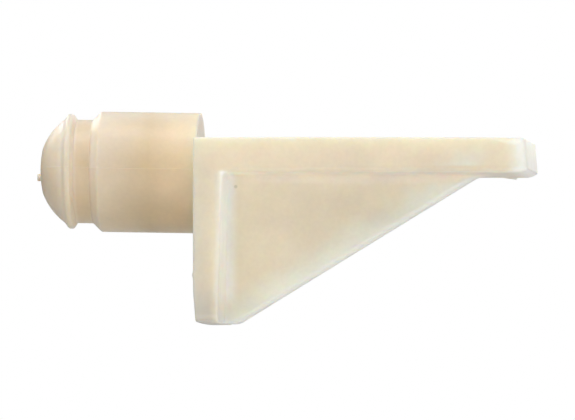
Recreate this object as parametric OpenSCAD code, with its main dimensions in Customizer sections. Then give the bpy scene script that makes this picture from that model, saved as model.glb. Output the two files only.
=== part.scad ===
// Push-in shelf anchor: a round snap-in plug, a wall plate and a shelf ledge propped by a web.
// Frame: origin on the plug's axis, in the plane of the wall. +X runs out of the wall along
// the ledge, +Z is up and the plug runs into the wall along -X. Millimetres.
// The piece is moulded in two mould halves that part on a level plane through the plug and
// draw apart along Z, so the upright faces lean in a little away from that plane.

/* [Plug] */
// Radius of the plug's barrel, a push fit in the wall's hole
barrel_r = 5.0; // [4.6:0.1:6.0]
// Length of the barrel's full-size stretch, behind the wall plate
barrel_len = 8.25; // [4:0.25:14]
// Radius of the groove that the wall's liner snaps into
neck_r = 4.3; // [3.6:0.05:4.4]
// Length of the groove
neck_len = 1.35; // [0.8:0.05:3]
// Radius of the lip at its crest
lip_r = 4.77; // [4.6:0.01:4.9]
// Rounding of the lip's crest
lip_round = 0.15; // [0.05:0.05:0.2]
// Length of the lip, from the groove to where its front runs into the dome
lip_len = 1; // [0.8:0.05:1.2]
// Radius of the domed nose
dome_r = 5.35; // [5.1:0.05:6]
// Radius of the blunt cap that the dome ends in
cap_r = 9; // [7:0.5:20]
// Length of the nose in front of the lip
nose_len = 2.05; // [1.9:0.05:2.15]
// Radius of the gate's stub on the nose
gate_r = 0.29; // [0.2:0.01:0.5]
// Height that the gate's stub stands proud of the nose
gate_h = 0.28; // [0.1:0.02:0.8]
// Height of the gate's stub below the plug's axis
gate_drop = 0.33; // [0:0.01:1.5]

/* [Wall plate] */
// Width of the plate, the ledge and the foot
bracket_w = 16; // [12:0.5:24]
// Height of the shelf's seat above the plug's axis
seat_z = 2.75; // [2:0.05:4]
// Depth of the plate's foot below the plug's axis
foot_z = 12.55; // [10:0.05:18]
// Thickness of the plate where it meets the ledge
plate_t = 2.4; // [2:0.1:3.5]
// Thickness of the plate at its foot, thinner by the mould's draft
plate_foot_t = 2.05; // [1.6:0.05:2.4]
// Radius of the plate's two lower corners, seen from the front
foot_corner_r = 0.6; // [0.3:0.1:4]
// Depth of the relief that keeps the foot's lower edge off the wall
foot_relief = 0.2; // [0:0.05:0.5]
// Height of that relief above the foot
foot_relief_h = 2.8; // [1:0.1:4]

/* [Ledge] */
// Reach of the ledge from the wall
ledge_reach = 27.65; // [18:0.05:40]
// Height of the ledge's underside above the plug's axis
ledge_under_z = -0.15; // [-0.5:0.05:0.5]
// Height of the mould's parting plane above the plug's axis
parting_z = 0.2; // [0:0.05:0.4]
// Draft of the ledge's tip above the parting plane, in degrees
tip_draft = 5; // [0:0.5:8]
// Draft of the ledge's two sides above the parting plane, in degrees
side_draft = 2; // [0:0.5:5]
// Radius of the ledge's free upper edge
tip_round = 0.35; // [0.3:0.05:1]
// Radius of the ledge's two free corners, seen from above
tip_corner_r = 1; // [0.4:0.1:2]

/* [Web] */
// Thickness of the web under the ledge
web_t = 2.4; // [1.6:0.1:5]
// Draft of each face of the web, in degrees
web_draft = 1; // [0:0.25:2]
// Reach of the web's flat foot from the wall
web_foot_x = 3.25; // [2.6:0.05:8]
// Reach of the web where it runs out under the ledge
web_tip_x = 23.4; // [14:0.1:26]

/* [Hidden] */
$fn = 96;
NATURAL = [0.925, 0.855, 0.735];
NATURAL_LIT = [0.955, 0.905, 0.815];
NATURAL_DEEP = [0.86, 0.775, 0.64];
// Stations along the plug, as depths behind the wall plane
neck_root = barrel_len + barrel_r - neck_r;
lip_root = neck_root + neck_len;
lip_end = lip_root + lip_len;
nose_end = lip_end + nose_len;
crest_r = lip_r - lip_round;
// The lip's crest is flat between two roundings, at these shares of its length
crest_shares = [0.33, 0.6];
crests = [for (share = crest_shares) [crest_r, lip_root + share * lip_len]];
// The dome's circle is placed so that the blunt cap cuts its tip off by this much
blunting = 0.15;
dome_centre = nose_end + blunting - dome_r;
lip_end_r = sqrt(pow(dome_r, 2) - pow(lip_end - dome_centre, 2));
rear_root = [neck_r, lip_root];
front_root = [lip_end_r, lip_end];

// Where the line from a root touches the rounding at a crest, on the side that turn picks
function touch(root, crest, turn) =
    let (
        span = crest - root,
        way = atan2(span[1], span[0]) + turn * asin(lip_round / norm(span))
    )
    root + sqrt(span * span - pow(lip_round, 2)) * [cos(way), sin(way)];

// Stands a plug profile, drawn as radius against depth, on the plug's axis
module turned() {
    rotate([0, -90, 0]) rotate_extrude() children();
}

// Runs a side view, drawn as X against Z, across the bracket's width
module side_view(w) {
    translate([0, w / 2, 0]) rotate([90, 0, 0]) linear_extrude(w) children();
}

// Runs a front view, drawn as Y against Z, out from the wall to reach
module front_view(reach) {
    rotate([90, 0, 90]) linear_extrude(reach) children();
}

// Half section of the nose: the dome's circle, blunted by the cap's
module nose_section() {
    intersection() {
        translate([0, dome_centre]) circle(dome_r);
        translate([0, nose_end - cap_r]) circle(cap_r);
        translate([0, lip_end]) square([dome_r, dome_r]);
    }
}

// Torn stub where the gate was broken off the runner
module gate_stub() {
    color(NATURAL_DEEP)
    difference() {
        translate([-nose_end - gate_h, 0, -gate_drop]) rotate([0, 90, 0]) cylinder(r = gate_r, h = 1);
        translate([cap_r - nose_end, 0, 0]) rotate([0, 90, 0]) sphere(cap_r);
    }
}

// Domed lead-in that finds the hole
module nose_dome() {
    color(NATURAL)
    turned() nose_section();
}

// Flared rim that squeezes through the liner and springs out behind it
module snap_lip() {
    color(NATURAL_LIT)
    turned() intersection() {
        union() {
            polygon([
                [0, lip_root], rear_root, touch(rear_root, crests[0], -1), crests[0] + [lip_round, 0],
                crests[1] + [lip_round, 0], touch(front_root, crests[1], 1), front_root, [0, lip_end]
            ]);
            for (crest = crests) translate(crest) circle(lip_round);
        }
        square([dome_r, lip_end]);
    }
}

// Core of the groove that the liner's edge sits in
module snap_neck() {
    color(NATURAL)
    turned() translate([0, neck_root]) square([neck_r, neck_len]);
}

// Barrel that fills the hole, with a 45 degree shoulder down to the groove
module plug_barrel() {
    color(NATURAL_DEEP)
    turned() polygon([
        [0, 0], [barrel_r, 0], [barrel_r, barrel_len], [neck_r, neck_root], [0, neck_root]
    ]);
}

// Front view of the plate, with its lower corners rounded
module plate_outline() {
    translate([-bracket_w / 2, foot_corner_r - foot_z])
        square([bracket_w, seat_z + foot_z - foot_corner_r]);
    translate([foot_corner_r - bracket_w / 2, -foot_z])
        square([bracket_w - 2 * foot_corner_r, foot_corner_r]);
    for (side = [-1, 1])
        translate([side * (bracket_w / 2 - foot_corner_r), foot_corner_r - foot_z])
            circle(foot_corner_r);
}

// Front view of the ledge, its sides leaning in above the parting plane
module ledge_outline() {
    half_w = bracket_w / 2;
    half_top = half_w - (seat_z - parting_z) * tan(side_draft);
    polygon([
        [-half_w, ledge_under_z], [half_w, ledge_under_z], [half_w, parting_z],
        [half_top, seat_z], [-half_top, seat_z], [-half_w, parting_z]
    ]);
}

// Plate that bears on the wall, around the hole
module wall_plate() {
    color(NATURAL_LIT)
    intersection() {
        front_view(plate_t) plate_outline();
        side_view(bracket_w) polygon([
            [foot_relief, -foot_z], [plate_foot_t, -foot_z], [plate_t, ledge_under_z],
            [plate_t, seat_z], [0, seat_z], [0, foot_relief_h - foot_z]
        ]);
        union() {
            front_view(plate_t) ledge_outline();
            front_view(plate_t) translate([-bracket_w / 2, -foot_z])
                square([bracket_w, foot_z + ledge_under_z]);
        }
    }
}

// Side view of the ledge: a flat slab with a drafted tip and a round upper edge
module ledge_profile() {
    tip_top = ledge_reach - (seat_z - parting_z) * tan(tip_draft);
    round_x = tip_top - tip_round;
    polygon([
        [plate_t, ledge_under_z], [ledge_reach - tip_round, ledge_under_z], [ledge_reach, parting_z],
        [tip_top, seat_z - tip_round], [round_x, seat_z], [plate_t, seat_z]
    ]);
    translate([round_x, seat_z - tip_round]) circle(tip_round);
}

// Plan of the ledge, with its two free corners rounded
module ledge_plan() {
    inner_w = bracket_w - 2 * tip_corner_r;
    translate([0, -bracket_w / 2]) square([ledge_reach - tip_corner_r, bracket_w]);
    translate([0, -inner_w / 2]) square([ledge_reach, inner_w]);
    for (side = [-1, 1])
        translate([ledge_reach - tip_corner_r, side * inner_w / 2]) circle(tip_corner_r);
}

// Ledge that the shelf rests on
module shelf_ledge() {
    color(NATURAL)
    intersection() {
        side_view(bracket_w) ledge_profile();
        front_view(ledge_reach) ledge_outline();
        translate([0, 0, ledge_under_z]) linear_extrude(seat_z - ledge_under_z) ledge_plan();
    }
}

// Web that props the ledge off the plate's foot
module gusset_web() {
    web_h = foot_z + ledge_under_z;
    half_foot = web_t / 2 - web_h * tan(web_draft);
    color(NATURAL_LIT)
    intersection() {
        side_view(web_t) polygon([
            [plate_t, ledge_under_z], [web_tip_x, ledge_under_z],
            [web_foot_x, -foot_z], [plate_foot_t, -foot_z]
        ]);
        front_view(web_tip_x) polygon([
            [-half_foot, -foot_z], [half_foot, -foot_z],
            [web_t / 2, ledge_under_z], [-web_t / 2, ledge_under_z]
        ]);
    }
}

gate_stub();
nose_dome();
snap_lip();
snap_neck();
plug_barrel();
wall_plate();
shelf_ledge();
gusset_web();
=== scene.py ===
"""Looks of a push-in shelf anchor, one moulding of natural nylon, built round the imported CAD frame.

The plug is lathed from its profile. The plate, ledge and web are one skin, meshed from a distance function
so that every inside corner has its moulded fillet. These two skins replace seven plain solids of the CAD,
and the gate's stub stays the CAD's own mesh. Shapes, tints and colour stops are given in millimetres, which
become metres where a mesh or a material is made. The stage and the lamps are given in metres.
"""

import math

import bpy
import numpy as np
from mathutils import Matrix, Vector


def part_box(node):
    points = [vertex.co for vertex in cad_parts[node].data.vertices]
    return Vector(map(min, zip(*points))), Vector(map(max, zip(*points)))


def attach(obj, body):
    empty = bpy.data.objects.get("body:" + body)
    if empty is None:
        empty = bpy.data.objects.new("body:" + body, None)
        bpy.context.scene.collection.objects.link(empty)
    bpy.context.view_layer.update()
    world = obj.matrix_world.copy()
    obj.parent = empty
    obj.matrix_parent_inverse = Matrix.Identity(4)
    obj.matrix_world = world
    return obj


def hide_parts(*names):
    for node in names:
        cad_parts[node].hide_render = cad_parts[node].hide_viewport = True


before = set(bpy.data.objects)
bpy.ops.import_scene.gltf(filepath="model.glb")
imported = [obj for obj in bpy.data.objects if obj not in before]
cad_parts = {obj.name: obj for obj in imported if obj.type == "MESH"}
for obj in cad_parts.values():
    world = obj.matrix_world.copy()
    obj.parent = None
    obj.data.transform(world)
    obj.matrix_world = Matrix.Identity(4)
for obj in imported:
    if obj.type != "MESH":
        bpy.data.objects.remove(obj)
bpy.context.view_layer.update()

MM = 0.001

# ---------------------------------------------------------------- sizes


def cad(node):
    """Lowest and highest corner of a CAD node, in millimetres."""
    low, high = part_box(node)
    return low / MM, high / MM


dome_low, _ = cad("nose_dome")
lip_low, lip_high = cad("snap_lip")
neck_low, neck_high = cad("snap_neck")
_, barrel_high = cad("plug_barrel")
plate_low, plate_high = cad("wall_plate")
ledge_low, ledge_high = cad("shelf_ledge")
_, web_high = cad("gusset_web")

# The plug's radii, and its stations as depths behind the wall
lip_r, neck_r, barrel_r = lip_high.z, neck_high.z, barrel_high.z
nose_end, lip_end, lip_root, neck_root = -dome_low.x, -lip_low.x, -neck_low.x, -neck_high.x
barrel_len = neck_root - (barrel_r - neck_r)

# The bracket's faces
foot_z, under_z, seat_z = plate_low.z, ledge_low.z, ledge_high.z
plate_t, web_tip_x, ledge_reach = plate_high.x, web_high.x, ledge_high.x
half_w, web_half = ledge_high.y, web_high.y

# Sizes of the CAD's solids that their boxes don't show
PARTING_Z = 0.2
DOME_R, CAP_R, BLUNTING = 5.35, 9.0, 0.15
PLATE_FOOT_T, WEB_FOOT_X = 2.05, 3.25
FOOT_CORNER_R, TIP_CORNER_R = 0.6, 1.0
FOOT_RELIEF, FOOT_RELIEF_H = 0.2, 2.8
TIP_DRAFT, SIDE_DRAFT, WEB_DRAFT = 5.0, 2.0, 1.0

# ---------------------------------------------------------------- camera

VIEW_AZIMUTH = math.radians(4.4)
VIEW_ELEVATION = math.radians(-1.5)
VIEW_DISTANCE = 1.0
# Width of the picture at the anchor, and how far the aim is to the right of and below the frame's origin
FRAME_WIDTH = 47.8 * MM
AIM_RIGHT, AIM_DOWN = 7.2 * MM, 3.05 * MM


def add_camera():
    """Long lens, a little to the right of square and a little below the ledge."""
    back = Vector((
        math.sin(VIEW_AZIMUTH) * math.cos(VIEW_ELEVATION),
        -math.cos(VIEW_AZIMUTH) * math.cos(VIEW_ELEVATION),
        math.sin(VIEW_ELEVATION),
    ))
    right = Vector((math.cos(VIEW_AZIMUTH), math.sin(VIEW_AZIMUTH), 0))
    up = back.cross(right)
    data = bpy.data.cameras.new("camera")
    data.sensor_width = 36
    data.lens = data.sensor_width * VIEW_DISTANCE / FRAME_WIDTH
    camera = bpy.data.objects.new("camera", data)
    bpy.context.scene.collection.objects.link(camera)
    turn = Matrix((right, up, back)).transposed().to_4x4()
    aim = right * AIM_RIGHT - up * AIM_DOWN
    camera.matrix_world = Matrix.Translation(aim + back * VIEW_DISTANCE) @ turn
    bpy.context.scene.camera = camera


add_camera()

# ---------------------------------------------------------------- lathed skin of the plug

# Points round the plug, on the nose's two arcs, and the longest step along the profile
AROUND = 176
CAP_POINTS, DOME_POINTS = 12, 26
PLUG_STEP = 0.14
# Radius below which a point of the profile counts as on the axis
ON_AXIS_R = 1e-6
# The fine ridge that the parting line leaves along both sides, outside the blunt middle of the nose
SEAM_HEIGHT, SEAM_WIDTH = 0.022, 0.045
SEAM_FROM_R = 1.0
# Places of the extra points across the ridge, in widths of the ridge
SEAM_STEPS = (-3, -2, -1, -0.5, 0, 0.5, 1, 2, 3)
# The two ends of the lip's crest, as depths past the groove
CREST_FRONT, CREST_REAR = 0.68, 0.30
# Depth that the barrel's closed end goes into the plate
BARREL_TUCK = 0.02
# Degrees that the plug leans up towards its nose
PLUG_LEAN = 1.0


def arc(centre, radius, start, end, count):
    """Points of a circular arc in the profile plane, angles in degrees."""
    turns = np.radians(np.linspace(start, end, count))
    return [(centre[0] + radius * math.cos(t), centre[1] + radius * math.sin(t)) for t in turns]


def rounded(corners, steps=7):
    """Profile through (point, radius) corners, each one rounded by an arc of its radius."""
    places = [np.array(point, float) for point, _ in corners]
    points = []
    for i, (_, radius) in enumerate(corners):
        corner = places[i]
        if radius == 0:
            points.append(tuple(corner))
            continue
        before = places[i - 1] - corner
        after = places[i + 1] - corner
        before /= np.linalg.norm(before)
        after /= np.linalg.norm(after)
        half = math.acos(float(np.clip(before @ after, -1, 1))) / 2
        setback = radius / math.tan(half)
        middle = (before + after) / np.linalg.norm(before + after)
        centre = corner + middle * radius / math.sin(half)
        first, last = corner + before * setback - centre, corner + after * setback - centre
        start = math.atan2(first[1], first[0])
        sweep = (math.atan2(last[1], last[0]) - start + math.pi) % (2 * math.pi) - math.pi
        points += arc(centre, radius, math.degrees(start), math.degrees(start + sweep), steps)
    return points


def even(points, spacing):
    """The same profile with points added so that no step is longer than spacing."""
    out = [points[0]]
    for a, b in zip(points, points[1:]):
        count = max(1, math.ceil(math.dist(a, b) / spacing))
        for k in range(1, count + 1):
            out.append((a[0] + (b[0] - a[0]) * k / count, a[1] + (b[1] - a[1]) * k / count))
    return out


def plug_profile():
    """Depth and radius from the nose's tip over the dome, lip, groove and barrel to the wall plate."""
    cap_centre = nose_end - CAP_R
    dome_centre = nose_end + BLUNTING - DOME_R
    gap = dome_centre - cap_centre
    meet = (CAP_R ** 2 - DOME_R ** 2 + gap ** 2) / (2 * gap) + cap_centre
    cap_angle = math.degrees(math.acos((meet - cap_centre) / CAP_R))
    dome_angle = math.degrees(math.acos((meet - dome_centre) / DOME_R))
    end_angle = math.degrees(math.acos((lip_end - dome_centre) / DOME_R))
    cap = arc((cap_centre, 0), CAP_R, 0, cap_angle, CAP_POINTS)
    dome = arc((dome_centre, 0), DOME_R, dome_angle, end_angle, DOME_POINTS)
    rest = rounded([
        (dome[-1], 0),
        ((lip_root + CREST_FRONT, lip_r), 0.22),
        ((lip_root + CREST_REAR, lip_r), 0.2),
        ((lip_root, neck_r), 0.08),
        ((neck_root, neck_r), 0.1),
        ((barrel_len, barrel_r), 0.35),
        ((0, barrel_r), 0),
        ((-BARREL_TUCK, barrel_r), 0),
        ((-BARREL_TUCK, 0), 0),
    ])
    return even(cap + dome[1:] + rest[1:], PLUG_STEP)


def ring_angles(radius):
    """Angles round the plug, with extra ones where the mould's parting line crosses a ring of this radius."""
    angles = list(np.linspace(0, 2 * math.pi, AROUND, endpoint=False))
    lift = math.asin(PARTING_Z / radius)
    for seam in (lift, math.pi - lift):
        angles += [seam + k * SEAM_WIDTH / radius for k in SEAM_STEPS]
    return np.sort(np.mod(np.array(angles), 2 * math.pi))


def lathe(profile):
    """Closed solid of revolution from (depth, radius) points that start and end on the plug's axis."""
    angles = ring_angles(barrel_r)
    verts, rings = [], []
    for depth, radius in profile:
        if radius < ON_AXIS_R:
            rings.append([len(verts)])
            verts.append((-depth, 0.0, 0.0))
            continue
        radii = np.full(len(angles), float(radius))
        if radius > SEAM_FROM_R:
            off = radius * np.sin(angles) - PARTING_Z
            radii += SEAM_HEIGHT * np.exp(-((off / SEAM_WIDTH) ** 2))
        rings.append(list(range(len(verts), len(verts) + len(angles))))
        verts += [(-depth, r * math.cos(t), r * math.sin(t)) for r, t in zip(radii, angles)]
    faces = []
    for a, b in zip(rings, rings[1:]):
        for k in range(len(angles)):
            n = (k + 1) % len(angles)
            if len(a) == 1:
                faces.append((a[0], b[n], b[k]))
            elif len(b) == 1:
                faces.append((a[k], a[n], b[0]))
            else:
                faces.append((a[k], a[n], b[n], b[k]))
    return verts, faces


def leaned(verts):
    """Points of the plug, which leans up a little towards its nose."""
    points = np.array(verts)
    points[:, 2] -= np.minimum(points[:, 0], 0) * math.tan(math.radians(PLUG_LEAN))
    return points


# ---------------------------------------------------------------- distances to the bracket

# Radii of the edges beside the seat, on top of the tip and round the plate's back
EDGE_R, TIP_EDGE_R, BACK_EDGE_R = 0.13, 0.22, 0.14
# Radii of the edges round the plate's front and the ledge's underside, of those at the foot, and of the web's
SOFT_EDGE_R, FOOT_EDGE_R, WEB_EDGE_R = 0.45, 0.15, 0.5
# Fillets between plate and ledge, at the web's two ends, and under the ledge along the web's middle
ROOT_FILLET, PLATE_FILLET, LEDGE_FILLET = 0.4, 0.4, 0.9
# Draft of the sides below the parting line, and the slope under the tip's edge, in degrees
LOW_DRAFT, TIP_UNDERCUT = 0.3, 40
# Droop of the ledge's tip, and rise of the foot's lower edge from its middle to its corners
TIP_DROOP, FOOT_CROWN = 0.09, 0.06
# Flash on the far lower edge near the tip: its start and end, its height and width, and the run of its side
FLASH_START, FLASH_END = ledge_reach - 2.95, ledge_reach - 1.8
FLASH_H, FLASH_WIDTH, FLASH_SIDE = 0.17, 0.9, 0.2
# Burr on the near back edge: its place, height and spread, its width and the run of its side
BURR_Z, BURR_H, BURR_SPREAD = foot_z + 3.9, 0.08, 0.22
BURR_WIDTH, BURR_SIDE = 1.0, 0.3

FRONT_LEAN = math.degrees(math.atan2(plate_t - PLATE_FOOT_T, under_z - foot_z))
RELIEF_LEAN = math.degrees(math.atan2(FOOT_RELIEF, FOOT_RELIEF_H))
WEB_SLOPE = math.atan2(under_z - foot_z, web_tip_x - WEB_FOOT_X)


def ramp(value, start, end):
    """Share that goes straight from 0 at start to 1 at end, and stays level beyond them."""
    return np.clip((value - start) / (end - start), 0, 1)


def between(a, b, share):
    """Value that is a at share 0 and b at share 1."""
    return a + (b - a) * share


def round_and(a, b, radius):
    """Both solids at once, their shared edge rounded."""
    u, v = np.maximum(a + radius, 0), np.maximum(b + radius, 0)
    return np.minimum(np.maximum(a, b), -radius) + np.hypot(u, v)


def round_or(a, b, radius):
    """Either solid, with a fillet where they meet."""
    u, v = np.maximum(radius - a, 0), np.maximum(radius - b, 0)
    return np.maximum(np.minimum(a, b), radius) - np.hypot(u, v)


def past_plane(x, z, point, lean):
    """Distance past an upright plane through point (x, z) that leans back by this many degrees."""
    angle = math.radians(lean)
    return (x - point[0]) * math.cos(angle) + (z - point[1]) * math.sin(angle)


def plate_or_ledge(x, y, z):
    """Distance to all that lies behind the plate's front or above the ledge's underside."""
    front = past_plane(x, z, (plate_t, under_z), -FRONT_LEAN)
    flash = FLASH_H * ramp(x, FLASH_START, FLASH_END) * (x < FLASH_END)
    flash = flash * ramp(y, half_w - FLASH_WIDTH, half_w - FLASH_WIDTH + FLASH_SIDE)
    return round_or(front, under_z - flash - z, ROOT_FILLET)


def web(x, y, z):
    """Distance to the web, a drafted slab cut along its slope."""
    half = web_half - (under_z - z) * math.tan(math.radians(WEB_DRAFT))
    cut = (x - web_tip_x) * math.sin(WEB_SLOPE) - (z - under_z) * math.cos(WEB_SLOPE)
    return round_and(np.abs(y) - np.minimum(half, web_half), cut, WEB_EDGE_R)


def outer_block(x, y, z):
    """Distance to the block that the sides, foot, seat, tip and back enclose."""
    wide = np.abs(y)
    side_line, tip_line = (half_w, PARTING_Z), (ledge_reach, PARTING_Z)
    side = np.maximum(past_plane(wide, z, side_line, SIDE_DRAFT), past_plane(wide, z, side_line, -LOW_DRAFT))
    bottom = foot_z + FOOT_CROWN * (wide / half_w) ** 2 - z
    block = round_and(side, bottom, FOOT_CORNER_R)
    tip = np.maximum(past_plane(x, z, tip_line, TIP_DRAFT), past_plane(x, z, tip_line, -TIP_UNDERCUT))
    ends = round_and(tip, z - seat_z, TIP_EDGE_R)
    near_tip = ramp(x, ledge_reach - 3, ledge_reach - 1)
    block = round_and(block, ends, between(EDGE_R, TIP_CORNER_R, near_tip))
    burr = BURR_H * np.exp(-((z - BURR_Z) / BURR_SPREAD) ** 2)
    burr = burr * ramp(-y, half_w - BURR_WIDTH, half_w - BURR_WIDTH + BURR_SIDE)
    relief = past_plane(-x, z, (0, foot_z + FOOT_RELIEF_H), -RELIEF_LEAN)
    return round_and(block, np.maximum(-x - burr, relief), BACK_EDGE_R)


def bracket_distance(p):
    """Distance from points p to the plate, ledge and web as one moulding; negative inside."""
    x, y = p[:, 0], p[:, 1]
    # The ledge droops a little towards its tip
    z = p[:, 2] + TIP_DROOP * ramp(x, plate_t, ledge_reach) ** 2
    along_web = ramp(x, plate_t + 0.5, plate_t + 2.5) * ramp(x, web_tip_x - 1, web_tip_x - 5)
    fillet = between(PLATE_FILLET, LEDGE_FILLET, along_web)
    inner = round_or(plate_or_ledge(x, y, z), web(x, y, z), fillet)
    above_foot = ramp(z, foot_z + 0.5, foot_z + 2.5)
    return round_and(outer_block(x, y, z), inner, between(FOOT_EDGE_R, SOFT_EDGE_R, above_foot))


# ---------------------------------------------------------------- mesh from a distance function

# Spacing of the bracket's grid, and how often its points are pulled onto the true surface
BRACKET_STEP = 0.15
PULLS = 4
# Least divisor of a pull, since the gradient is short in a crease
LEAST_SLOPE = 0.2
# Parts that the grid is worked out in, to save memory
GRID_PARTS = 16


def gradient(function, p, step=2e-3):
    """Gradient of a distance function at points p."""
    out = np.empty_like(p)
    for axis in range(3):
        shift = np.zeros(3)
        shift[axis] = step
        out[:, axis] = (function(p + shift) - function(p - shift)) / (2 * step)
    return out


def slab(axis, along, across=slice(None)):
    """Index of a three-way array, with one slice on this axis and another on the other two."""
    index = [across] * 3
    index[axis] = along
    return tuple(index)


def cell_points(field):
    """Which grid cells the surface crosses, and for each the mean of the crossings on its edges, in steps."""
    cells = tuple(n - 1 for n in field.shape)
    total, count = np.zeros(cells + (3,)), np.zeros(cells)
    for axis in range(3):
        u, v = [k for k in range(3) if k != axis]
        a, b = field[slab(axis, slice(0, -1))], field[slab(axis, slice(1, None))]
        crossing = (a < 0) != (b < 0)
        share = np.where(crossing, a / np.where(a == b, 1, a - b), 0)
        for i, j in ((0, 0), (0, 1), (1, 0), (1, 1)):
            edge = [slice(None)] * 3
            edge[u], edge[v] = slice(i, i + cells[u]), slice(j, j + cells[v])
            hit = crossing[tuple(edge)]
            total[..., axis] += share[tuple(edge)]
            total[..., u] += i * hit
            total[..., v] += j * hit
            count += hit
    used = count > 0
    return used, np.argwhere(used) + total[used] / count[used][:, None]


def cell_faces(inside, used):
    """Quads, facing out, that join the four cells round each grid edge that the surface crosses."""
    number = np.full(used.shape, -1)
    number[used] = np.arange(int(used.sum()))
    faces = []
    for axis in range(3):
        u, v = (axis + 1) % 3, (axis + 2) % 3
        a = inside[slab(axis, slice(0, -1), slice(1, -1))]
        b = inside[slab(axis, slice(1, None), slice(1, -1))]
        for flips, mask in ((False, a & ~b), (True, b & ~a)):
            around = []
            for du, dv in ((0, 0), (1, 0), (1, 1), (0, 1)):
                cell = np.argwhere(mask)
                cell[:, u] += du
                cell[:, v] += dv
                around.append(number[tuple(cell.T)])
            quads = np.stack(around, 1)
            faces.append(quads[:, ::-1] if flips else quads)
    return np.concatenate(faces).tolist()


def surface_net(function, low, high, step):
    """Closed quad mesh of function == 0, its points pulled onto the true surface, with their normals."""
    # The grid reaches two steps or more past the box on every side
    axes = [np.arange(a - 2.5 * step, b + 3.5 * step, step) for a, b in zip(low, high)]
    grid = np.stack(np.meshgrid(*axes, indexing="ij"), -1).reshape(-1, 3)
    field = np.concatenate([function(part) for part in np.array_split(grid, GRID_PARTS)])
    field = field.reshape([len(a) for a in axes])
    used, places = cell_points(field)
    verts = np.array([a[0] for a in axes]) + places * step
    for _ in range(PULLS):
        slope = gradient(function, verts)
        move = function(verts) / np.maximum((slope ** 2).sum(1), LEAST_SLOPE)
        verts = verts - np.clip(move, -step / 2, step / 2)[:, None] * slope
    normals = gradient(function, verts)
    normals /= np.linalg.norm(normals, axis=1)[:, None]
    return verts, cell_faces(field < 0, used), normals


# ---------------------------------------------------------------- material


def fill_ramp(node, stops):
    """Gives a colour ramp node its (share, colour) stops, in rising order."""
    elements = node.color_ramp.elements
    elements.remove(elements[0])
    for k, (share, colour) in enumerate(stops):
        stop = elements[0] if k == 0 else elements.new(share)
        stop.position = share
        stop.color = colour


class Graph:
    """Short calls that add nodes to a material, for values that vary over the surface."""

    def __init__(self, material):
        self.nodes, self.links = material.node_tree.nodes, material.node_tree.links
        coords = self.nodes.new("ShaderNodeTexCoord")
        self.place = coords.outputs["Object"]
        split = self.nodes.new("ShaderNodeSeparateXYZ")
        self.links.new(self.place, split.inputs[0])
        self.x, self.y, self.z = split.outputs

    def feed(self, socket, value):
        """Links an output to a socket, or sets the socket to a number or a colour."""
        if isinstance(value, bpy.types.NodeSocket):
            self.links.new(value, socket)
        else:
            socket.default_value = value

    def math(self, operation, a, b=0.0):
        """Result of an operation on two values, each an output or a number."""
        node = self.nodes.new("ShaderNodeMath")
        node.operation = operation
        self.feed(node.inputs[0], a)
        self.feed(node.inputs[1], b)
        return node.outputs[0]

    def product(self, shares):
        """All the shares multiplied together."""
        total = shares[0]
        for share in shares[1:]:
            total = self.math("MULTIPLY", total, share)
        return total

    def fade(self, value, start, end, low=0.0, high=1.0):
        """Smooth change from low at start to high at end."""
        node = self.nodes.new("ShaderNodeMapRange")
        node.interpolation_type = "SMOOTHSTEP"
        self.feed(node.inputs["Value"], value)
        for key, number in (("From Min", start), ("From Max", end), ("To Min", low), ("To Max", high)):
            node.inputs[key].default_value = number
        return node.outputs["Result"]

    def near(self, value, edge, start, end):
        """Share that rises from 0 to 1 between two places, both in millimetres past an edge."""
        return self.fade(value, (edge + start) * MM, (edge + end) * MM)

    def noise(self, size, detail=2.0, roughness=0.5):
        """Noise from 0 to 1 whose blotches are about size millimetres across."""
        node = self.nodes.new("ShaderNodeTexNoise")
        self.feed(node.inputs["Vector"], self.place)
        node.inputs["Scale"].default_value = 1 / (size * MM)
        node.inputs["Detail"].default_value = detail
        node.inputs["Roughness"].default_value = roughness
        return node.outputs["Fac"]

    def blend(self, share, a, b, kind="MIX"):
        """Colour between a and b, which are sockets or colours."""
        node = self.nodes.new("ShaderNodeMix")
        node.data_type = "RGBA"
        node.blend_type = kind
        self.feed(node.inputs["Factor"], share)
        self.feed(node.inputs["A"], a)
        self.feed(node.inputs["B"], b)
        return node.outputs["Result"]

    def stops(self, value, colours):
        """Colour along a run, through (place in millimetres, colour) stops in rising order."""
        start, end = colours[0][0], colours[-1][0]
        run = self.nodes.new("ShaderNodeMapRange")
        self.feed(run.inputs["Value"], value)
        run.inputs["From Min"].default_value = start * MM
        run.inputs["From Max"].default_value = end * MM
        node = self.nodes.new("ShaderNodeValToRGB")
        self.links.new(run.outputs["Result"], node.inputs["Fac"])
        fill_ramp(node, [((place - start) / (end - start), colour) for place, colour in colours])
        return node.outputs["Color"]

    def bump(self, distance, height):
        """Bump node that pushes the surface by up to distance millimetres."""
        node = self.nodes.new("ShaderNodeBump")
        node.inputs["Distance"].default_value = distance * MM
        self.feed(node.inputs["Height"], height)
        return node


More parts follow.
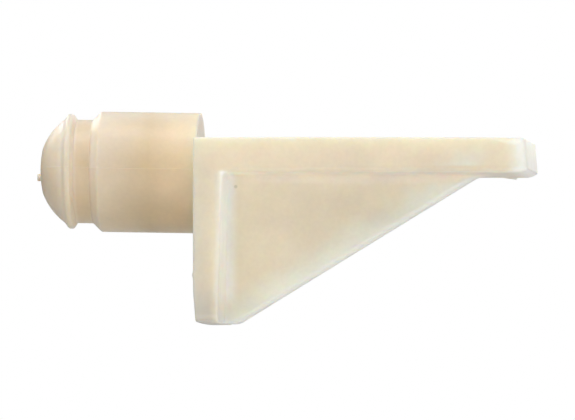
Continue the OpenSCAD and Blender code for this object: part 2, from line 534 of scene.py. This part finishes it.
def natural_nylon(name, tint, sink):
    """Cream, slightly cloudy, satin nylon. tint gives its colour together with any painted highlights and
    shade, and light sinks into it by sink mm.
    """
    material = bpy.data.materials.new(name)
    material.use_nodes = True
    graph = Graph(material)
    shader = graph.nodes["Principled BSDF"]
    # Nylon's refraction, and light that sinks in deepest where it is red
    shader.inputs["IOR"].default_value = 1.53
    shader.inputs["Subsurface Weight"].default_value = 1.0
    shader.inputs["Subsurface Radius"].default_value = (1.0, 0.75, 0.45)
    shader.inputs["Subsurface Scale"].default_value = sink * MM
    # Cloudy colour: broad blotches and a fine mottle
    cloud = graph.fade(graph.noise(3.2, 3.0), 0.3, 0.7, 0.965, 1.03)
    mottle = graph.fade(graph.noise(0.35, 2.0), 0.3, 0.7, 0.985, 1.012)
    shade = graph.product([cloud, mottle])
    grey = graph.nodes.new("ShaderNodeCombineColor")
    for key in ("Red", "Green", "Blue"):
        graph.feed(grey.inputs[key], shade)
    colour = graph.blend(1.0, tint(graph), grey.outputs[0], "MULTIPLY")
    graph.feed(shader.inputs["Base Color"], colour)
    # Satin skin with duller patches
    patches = graph.noise(1.1, 4.0, 0.6)
    graph.feed(shader.inputs["Roughness"], graph.fade(patches, 0.25, 0.75, 0.30, 0.42))
    # The mould's slight waves and its fine spark-eroded grain
    waves = graph.bump(0.018, graph.noise(2.4, 1.0))
    grain = graph.bump(0.004, graph.noise(0.16, 3.0, 0.6))
    graph.feed(grain.inputs["Normal"], waves.outputs[0])
    graph.feed(shader.inputs["Normal"], grain.outputs[0])
    return material


# Colours along the plug, by depth behind the wall: nose, lip, groove, shoulder and barrel. Over the nylon's
# own colour they paint a highlight on the lip's front and on the shoulder, shade in the groove and on the
# barrel's middle, light on the barrel near the plate, and shade where the barrel meets the plate
PLUG_COLOURS_AND_PAINTED_LIGHT = (
    (nose_end, (0.85, 0.72, 0.55, 1)),
    (lip_end + 0.45, (0.87, 0.75, 0.585, 1)),
    (lip_end - 0.02, (0.93, 0.835, 0.69, 1)),
    (lip_end - 0.35, (0.82, 0.73, 0.595, 1)),
    (lip_root + 0.31, (0.82, 0.73, 0.60, 1)),
    (lip_root + 0.05, (0.89, 0.79, 0.65, 1)),
    (lip_root - 0.29, (0.80, 0.65, 0.46, 1)),
    (neck_root + 0.13, (0.80, 0.65, 0.455, 1)),
    (neck_root - 0.21, (0.93, 0.82, 0.67, 1)),
    (barrel_len - 0.11, (0.83, 0.72, 0.57, 1)),
    (4.0, (0.77, 0.62, 0.41, 1)),
    (1.33, (0.94, 0.76, 0.53, 1)),
    (0.2, (0.96, 0.81, 0.58, 1)),
    (0.0, (0.76, 0.68, 0.56, 1)),
)
# Painted shade: the plug darker and warmer underneath
PLUG_UNDER_PAINTED_SHADE = (0.93, 0.90, 0.82, 1)
# Painted highlight: the plug paler along its top, and the most of it that is laid on
PLUG_TOP_PAINTED_HIGHLIGHT = (0.88, 0.83, 0.74, 1)
PLUG_TOP_HIGHLIGHT_SHARE = 0.35

# Colours of the bracket: the nylon's own general colour, then the painted highlights, glow and shade that lie
# over it, named for where they are, and at the end one real dark speck
CORE = (0.847, 0.775, 0.622, 1)
# Painted shade: the ledge's side darker below its lit top edge, down to the underside
LEDGE_SIDE_PAINTED_SHADE = (0.83, 0.74, 0.59, 1)
# Painted glow: a paler band inside the web's sloping edge, where light would shine through the thin nylon
SLOPE_PAINTED_GLOW = (0.825, 0.825, 0.745, 1)
# Painted shade on the ledge's lower rounded edge, damping its highlight
LEDGE_EDGE_PAINTED_SHADE = (0.79, 0.69, 0.54, 1)
# Painted light in the fillet just under the ledge, lifting the shade there
LEDGE_FILLET_PAINTED_LIGHT = (0.87, 0.805, 0.66, 1)
# Painted highlight: the bright strip down the plate's front face
PLATE_FRONT_PAINTED_HIGHLIGHT = (0.92, 0.91, 0.86, 1)
# Painted shade on the plate's front rounded edge, damping its highlight
PLATE_RIM_PAINTED_SHADE = (0.79, 0.74, 0.64, 1)
# Painted shade on the web's downward-facing sloping face
SLOPE_FACE_PAINTED_SHADE = (0.75, 0.745, 0.685, 1)
# Painted light: the ledge's tip paler, for its lit rounded corners and glow
TIP_PAINTED_LIGHT = (0.90, 0.87, 0.80, 1)
# Painted shade on the tip's end face, keeping it off pure white
TIP_END_PAINTED_SHADE = (0.82, 0.785, 0.715, 1)
# Painted shade: the plate's side darker towards its lower part
PLATE_SIDE_PAINTED_SHADE = (0.79, 0.72, 0.58, 1)
# Painted shade: the plate darker near its foot, where it turns under
FOOT_PAINTED_SHADE = (0.59, 0.565, 0.50, 1)
SPECK = (0.45, 0.47, 0.33, 1)

# The one dark speck on the web's near face: its place, the radii of its core and rim, and its strength
SPECK_PLACE = (plate_t + 0.6, -web_half, under_z - 1.0)
SPECK_CORE_R, SPECK_RIM_R, SPECK_SHARE = 0.08, 0.2, 0.5

# The torn plastic of the gate's stub
STUB = (0.62, 0.57, 0.47, 1)


def plug_tint(graph):
    """Bands of colour and painted light along the plug for its nose, lip, groove, shoulder and barrel, with
    painted shade underneath and a painted highlight on top.
    """
    colour = graph.stops(graph.x, [(-depth, band) for depth, band in PLUG_COLOURS_AND_PAINTED_LIGHT])
    # Painted shade underneath
    colour = graph.blend(graph.near(graph.z, 0, 2.0, -3.0), colour, PLUG_UNDER_PAINTED_SHADE, "MULTIPLY")
    # Painted highlight along the top
    painted_top_highlight = graph.fade(graph.z, (barrel_r - 1.6) * MM, (barrel_r - 0.1) * MM, 0.0, PLUG_TOP_HIGHLIGHT_SHARE)
    return graph.blend(painted_top_highlight, colour, PLUG_TOP_PAINTED_HIGHLIGHT)


def past_slope(graph):
    """Distance past the plane of the web's slope, in metres; negative inside the web."""
    along = graph.math("MULTIPLY", graph.math("SUBTRACT", graph.x, web_tip_x * MM), math.sin(WEB_SLOPE))
    up = graph.math("MULTIPLY", graph.math("SUBTRACT", graph.z, under_z * MM), math.cos(WEB_SLOPE))
    return graph.math("SUBTRACT", along, up)


def speck_share(graph):
    """Strength of the dark speck, by distance from its place."""
    away = graph.nodes.new("ShaderNodeVectorMath")
    away.operation = "DISTANCE"
    graph.feed(away.inputs[0], graph.place)
    away.inputs[1].default_value = [length * MM for length in SPECK_PLACE]
    return graph.fade(away.outputs["Value"], SPECK_RIM_R * MM, SPECK_CORE_R * MM, 0.0, SPECK_SHARE)


def bracket_tint(graph):
    """Cream, with a painted glow towards the web's slope, painted highlights and shade on the plate, ledge
    and tip, and one dark speck.
    """
    x, z = graph.x, graph.z
    wide = graph.math("ABSOLUTE", graph.y)
    slope = past_slope(graph)
    wander = graph.fade(graph.noise(2.0, 2.0), 0.0, 1.0, -0.6 * MM, 0.6 * MM)
    wavy_slope = graph.math("ADD", slope, wander)
    past_plate = (x, plate_t, -0.4, 0.2)
    plate = (x, plate_t, 0, -1.2)
    # Each tint, a painted highlight, glow or shade, is laid on where all of its fades are 1: (axis, edge,
    # where it is 0, where it is 1)
    tints = (
        (LEDGE_SIDE_PAINTED_SHADE, ((z, seat_z, -0.75, -2.45), (z, under_z, -1.05, -0.05))),
        (SLOPE_PAINTED_GLOW, ((wavy_slope, 0, -3.0, -0.5), (x, web_tip_x, 1.6, -1.4))),
        (LEDGE_EDGE_PAINTED_SHADE, ((z, under_z, 0.65, 0.35), (z, under_z, -0.01, 0.09), past_plate)),
        (LEDGE_FILLET_PAINTED_LIGHT, ((z, under_z, 0.07, 0), (z, under_z, -1.15, -0.25), past_plate)),
        (PLATE_FRONT_PAINTED_HIGHLIGHT, ((x, plate_t, 1, 0), (x, plate_t, -0.45, -0.1), (z, under_z, 0.25, -0.05),
                       (z, foot_z, 1.05, 2.55))),
        (PLATE_RIM_PAINTED_SHADE, ((x, plate_t, -0.8, -0.45), (x, plate_t, 0, -0.3), (z, under_z, 0.35, -0.25),
                     (wide, half_w, -0.7, -0.4))),
        (SLOPE_FACE_PAINTED_SHADE, ((slope, 0, -0.7, -0.1), (z, under_z, -0.05, -0.45))),
        (TIP_PAINTED_LIGHT, ((x, ledge_reach, -2.05, -0.65),)),
        (TIP_END_PAINTED_SHADE, ((x, ledge_reach, -0.2, -0.03),)),
        (PLATE_SIDE_PAINTED_SHADE, (plate, (z, seat_z, -0.75, -6.75))),
        (FOOT_PAINTED_SHADE, (plate, (z, foot_z, 4.05, 0.55))),
    )
    colour = CORE
    for tint, fades in tints:
        colour = graph.blend(graph.product([graph.near(*fade) for fade in fades]), colour, tint)
    return graph.blend(speck_share(graph), colour, SPECK)


def stub_tint(graph):
    """Mottled and duller, where the plastic was torn."""
    return graph.blend(graph.fade(graph.noise(0.2), 0.3, 0.7), STUB, CORE)


# ---------------------------------------------------------------- pieces

# How deep light sinks into the plug, the bracket and the stub
PLUG_SINK, BRACKET_SINK, STUB_SINK = 0.9, 2.4, 0.15


def make_piece(name, verts, faces, body, replaced, material, normals=None):
    """Mesh object from points in millimetres, riding on a CAD body in place of CAD nodes."""
    mesh = bpy.data.meshes.new(name)
    mesh.from_pydata((np.asarray(verts) * MM).tolist(), [], faces)
    mesh.validate()
    mesh.update()
    mesh.polygons.foreach_set("use_smooth", [True] * len(mesh.polygons))
    if normals is not None:
        mesh.normals_split_custom_set_from_vertices(np.asarray(normals).tolist())
    mesh.materials.append(material)
    piece = bpy.data.objects.new(name, mesh)
    bpy.context.scene.collection.objects.link(piece)
    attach(piece, body)
    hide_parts(*replaced)


def add_plug():
    """Dome, lip, groove and barrel as one lathed skin."""
    verts, faces = lathe(plug_profile())
    nylon = natural_nylon("natural_nylon_plug", plug_tint, PLUG_SINK)
    make_piece("plug_moulding", leaned(verts), faces, "root",
               ["nose_dome", "snap_lip", "snap_neck", "plug_barrel"], nylon)


def add_bracket():
    """Plate, ledge and web as one filleted skin."""
    verts, faces, normals = surface_net(bracket_distance, plate_low, ledge_high, BRACKET_STEP)
    nylon = natural_nylon("natural_nylon_bracket", bracket_tint, BRACKET_SINK)
    make_piece("bracket_moulding", verts, faces, "root",
               ["wall_plate", "shelf_ledge", "gusset_web"], nylon, normals)


def dress_stub():
    """Gives the CAD's own stub its nylon."""
    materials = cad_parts["gate_stub"].data.materials
    materials.clear()
    materials.append(natural_nylon("natural_nylon_stub", stub_tint, STUB_SINK))


add_plug()
add_bracket()
dress_stub()

# ---------------------------------------------------------------- stage and light

# The floor's side, its depth below the origin and its grey
FLOOR_SIZE, FLOOR_DROP, FLOOR_GREY = 3.0, 0.12, 0.72

# Light from the surroundings, from straight below (-1) over the horizon (0) to straight above (1)
WORLD_STOPS = ((-1.0, 0.25), (0.0, 0.0), (1.0, 0.73))

# Lamps: name, azimuth and elevation in degrees, side of the square in metres, watts
LAMPS = (
    ("top_softbox", 0, 80, 0.4, 1.43),
    ("nose_softbox", -35, 40, 0.4, 1.2),
    ("left_softbox", -80, 5, 0.4, 0.52),
    ("low_front_softbox", 5, -28, 1.0, 3.1),
    ("low_corner_softbox", 65, -38, 0.8, 1.45),
    ("tip_softbox", 85, -15, 0.8, 2.3),
    ("back_softbox", -145, 35, 0.4, 1.2),
    ("rim_softbox", 165, 15, 0.4, 0.6),
)
LAMP_DISTANCE = 0.7
LAMP_TARGET = (0.007, 0, -0.003)


def add_floor():
    """Plain pale floor, well below the anchor, which a wall would hold in the air.

    It casts no shadow, so that the low lamps can stand below it, and it throws no light back up.
    """
    mesh = bpy.data.meshes.new("floor")
    h = FLOOR_SIZE / 2
    corners = [(-h, -h, -FLOOR_DROP), (h, -h, -FLOOR_DROP), (h, h, -FLOOR_DROP), (-h, h, -FLOOR_DROP)]
    mesh.from_pydata(corners, [], [(0, 1, 2, 3)])
    material = bpy.data.materials.new("floor")
    material.use_nodes = True
    shader = material.node_tree.nodes["Principled BSDF"]
    shader.inputs["Base Color"].default_value = (FLOOR_GREY, FLOOR_GREY, FLOOR_GREY, 1)
    shader.inputs["Roughness"].default_value = 0.9
    mesh.materials.append(material)
    floor = bpy.data.objects.new("floor", mesh)
    bpy.context.scene.collection.objects.link(floor)
    floor.visible_diffuse = False
    floor.visible_shadow = False


def from_side(azimuth, elevation):
    """Place of a lamp. Azimuth 0 is the front, 90 the tip's side and -90 the nose's."""
    a, e = math.radians(azimuth), math.radians(elevation)
    way = Vector((math.sin(a) * math.cos(e), -math.cos(a) * math.cos(e), math.sin(e)))
    return way * LAMP_DISTANCE


def add_softbox(name, azimuth, elevation, size, watts):
    """Square area lamp, aimed at the anchor, that the camera doesn't see."""
    data = bpy.data.lights.new(name, "AREA")
    data.shape = "SQUARE"
    data.size = size
    data.energy = watts
    lamp = bpy.data.objects.new(name, data)
    bpy.context.scene.collection.objects.link(lamp)
    lamp.location = from_side(azimuth, elevation)
    lamp.rotation_euler = (Vector(LAMP_TARGET) - lamp.location).to_track_quat("-Z", "Y").to_euler()
    lamp.visible_camera = False


def add_world(stops):
    """Surroundings that the camera sees pure white, and that light the anchor by (height, level) stops."""
    world = bpy.data.worlds.new("studio")
    bpy.context.scene.world = world
    world.use_nodes = True
    nodes, links = world.node_tree.nodes, world.node_tree.links
    nodes.clear()
    coords = nodes.new("ShaderNodeTexCoord")
    split = nodes.new("ShaderNodeSeparateXYZ")
    links.new(coords.outputs["Generated"], split.inputs[0])
    height = nodes.new("ShaderNodeMapRange")
    height.inputs["From Min"].default_value = -1
    height.inputs["From Max"].default_value = 1
    links.new(split.outputs["Z"], height.inputs["Value"])
    level = nodes.new("ShaderNodeValToRGB")
    fill_ramp(level, [((place + 1) / 2, (grey, grey, grey, 1)) for place, grey in stops])
    links.new(height.outputs["Result"], level.inputs["Fac"])
    lit = nodes.new("ShaderNodeBackground")
    links.new(level.outputs["Color"], lit.inputs["Color"])
    seen = nodes.new("ShaderNodeBackground")
    seen.inputs["Color"].default_value = (1, 1, 1, 1)
    path = nodes.new("ShaderNodeLightPath")
    mix = nodes.new("ShaderNodeMixShader")
    links.new(path.outputs["Is Camera Ray"], mix.inputs["Fac"])
    links.new(lit.outputs[0], mix.inputs[1])
    links.new(seen.outputs[0], mix.inputs[2])
    out = nodes.new("ShaderNodeOutputWorld")
    links.new(mix.outputs[0], out.inputs["Surface"])


add_floor()
add_world(WORLD_STOPS)
for lamp_settings in LAMPS:
    add_softbox(*lamp_settings)
bpy.context.scene.view_settings.view_transform = "Standard"
